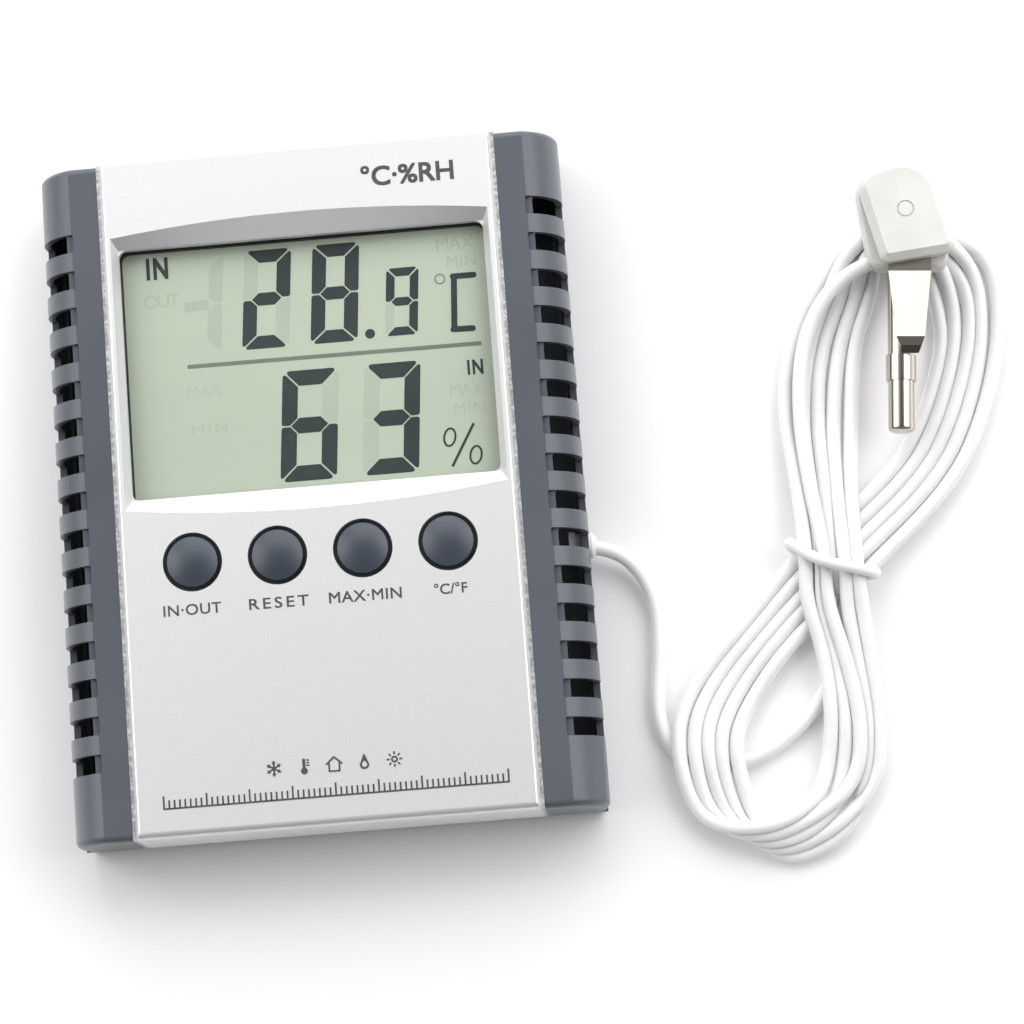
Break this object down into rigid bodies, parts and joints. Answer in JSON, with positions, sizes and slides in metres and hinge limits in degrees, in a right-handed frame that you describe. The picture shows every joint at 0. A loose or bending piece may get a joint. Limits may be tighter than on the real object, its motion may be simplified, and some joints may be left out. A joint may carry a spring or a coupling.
{
  "type": "indoor and outdoor maximum-minimum thermometer and hygrometer",
  "caption": "Battery room thermometer and hygrometer with maximum and minimum memory, a large display, press buttons, vented side rails and an outdoor probe on a hanked cord.",
  "frame": {"origin": "middle of the back face, on the surface that the case lies on", "axes": "+Z out of the display, +Y to the top edge of the case, +X to its right side, where the cord leaves"},
  "size_m": [0.1832, 0.1414, 0.0231],
  "materials": {
    "silver_paint": "satin metallic paint",
    "dark_plastic": "satin moulded, fine texture",
    "button_plastic": "satin",
    "clear_lens": "clear, polished",
    "black_frame": "matt",
    "display_glass": "grey-green reflective display",
    "reflector_film": "satin film",
    "contact_rubber": "striped rubber",
    "board_green": "solder mask",
    "can_steel": "bright",
    "resin_black": "glossy drop",
    "capacitor_sleeve": "shrunk sleeve",
    "sensor_shell": "matt",
    "bead_epoxy": "glossy bead",
    "cell_jacket": "printed-free jacket",
    "spring_nickel": "nickel plate",
    "screw_steel": "zinc plate",
    "grommet_rubber": "soft white",
    "cord_white": "smooth soft sheath",
    "probe_nickel": "bright nickel",
    "pad_white": "moulded, smooth"
  },
  "bodies": {
    "root": {"front_cover": "silver_paint", "rear_cover": "dark_plastic", "left_vent_rail": "dark_plastic", "right_vent_rail": "dark_plastic", "lcd_lens": "clear_lens", "lcd_frame": "black_frame", "lcd_glass": "display_glass", "lcd_reflector": "reflector_film", "contact_strips": "contact_rubber", "main_board": "board_green", "tact_switches": "can_steel", "chip_blob": "resin_black", "capacitors": "capacitor_sleeve", "crystal": "can_steel", "humidity_sensor": "sensor_shell", "room_thermistor": "bead_epoxy", "battery_aaa": "cell_jacket", "contact_plate": "spring_nickel", "contact_spring": "spring_nickel", "case_screws": "screw_steel", "rail_screws": "screw_steel", "board_screws": "screw_steel", "cord_grommet": "grommet_rubber", "cord_tube": "cord_white", "cord_hank": "cord_white", "hank_tie": "cord_white", "sensor_tube": "probe_nickel", "sensor_collar": "probe_nickel", "sensor_leaf": "probe_nickel", "sensor_front_pad": "pad_white", "sensor_back_pad": "pad_white"},
    "in_out_cap": {"in_out_button": "button_plastic"},
    "reset_cap": {"reset_button": "button_plastic"},
    "max_min_cap": {"max_min_button": "button_plastic"},
    "unit_cap": {"unit_button": "button_plastic"},
    "door": {"battery_door": "dark_plastic"},
    "easel": {"stand": "dark_plastic"}
  },
  "joints": [
    {"name": "in_out_press", "type": "slide", "parent": "root", "child": "in_out_cap", "axis": [0, 0, -1], "range_m": [0, 0.0008], "stiffness_N_per_m": 450, "springref_m": -0.0004},
    {"name": "reset_press", "type": "slide", "parent": "root", "child": "reset_cap", "axis": [0, 0, -1], "range_m": [0, 0.0008], "stiffness_N_per_m": 450, "springref_m": -0.0004},
    {"name": "max_min_press", "type": "slide", "parent": "root", "child": "max_min_cap", "axis": [0, 0, -1], "range_m": [0, 0.0008], "stiffness_N_per_m": 450, "springref_m": -0.0004},
    {"name": "unit_press", "type": "slide", "parent": "root", "child": "unit_cap", "axis": [0, 0, -1], "range_m": [0, 0.0008], "stiffness_N_per_m": 450, "springref_m": -0.0004},
    {"name": "battery_door_hinge", "type": "hinge", "parent": "root", "child": "door", "pos_m": [0, -0.029, 0.001], "axis": [1, 0, 0], "range_deg": [0, 80]},
    {"name": "stand_hinge", "type": "hinge", "parent": "root", "child": "easel", "pos_m": [0, 0.039, 0.0011], "axis": [1, 0, 0], "range_deg": [0, 60]}
  ]
}
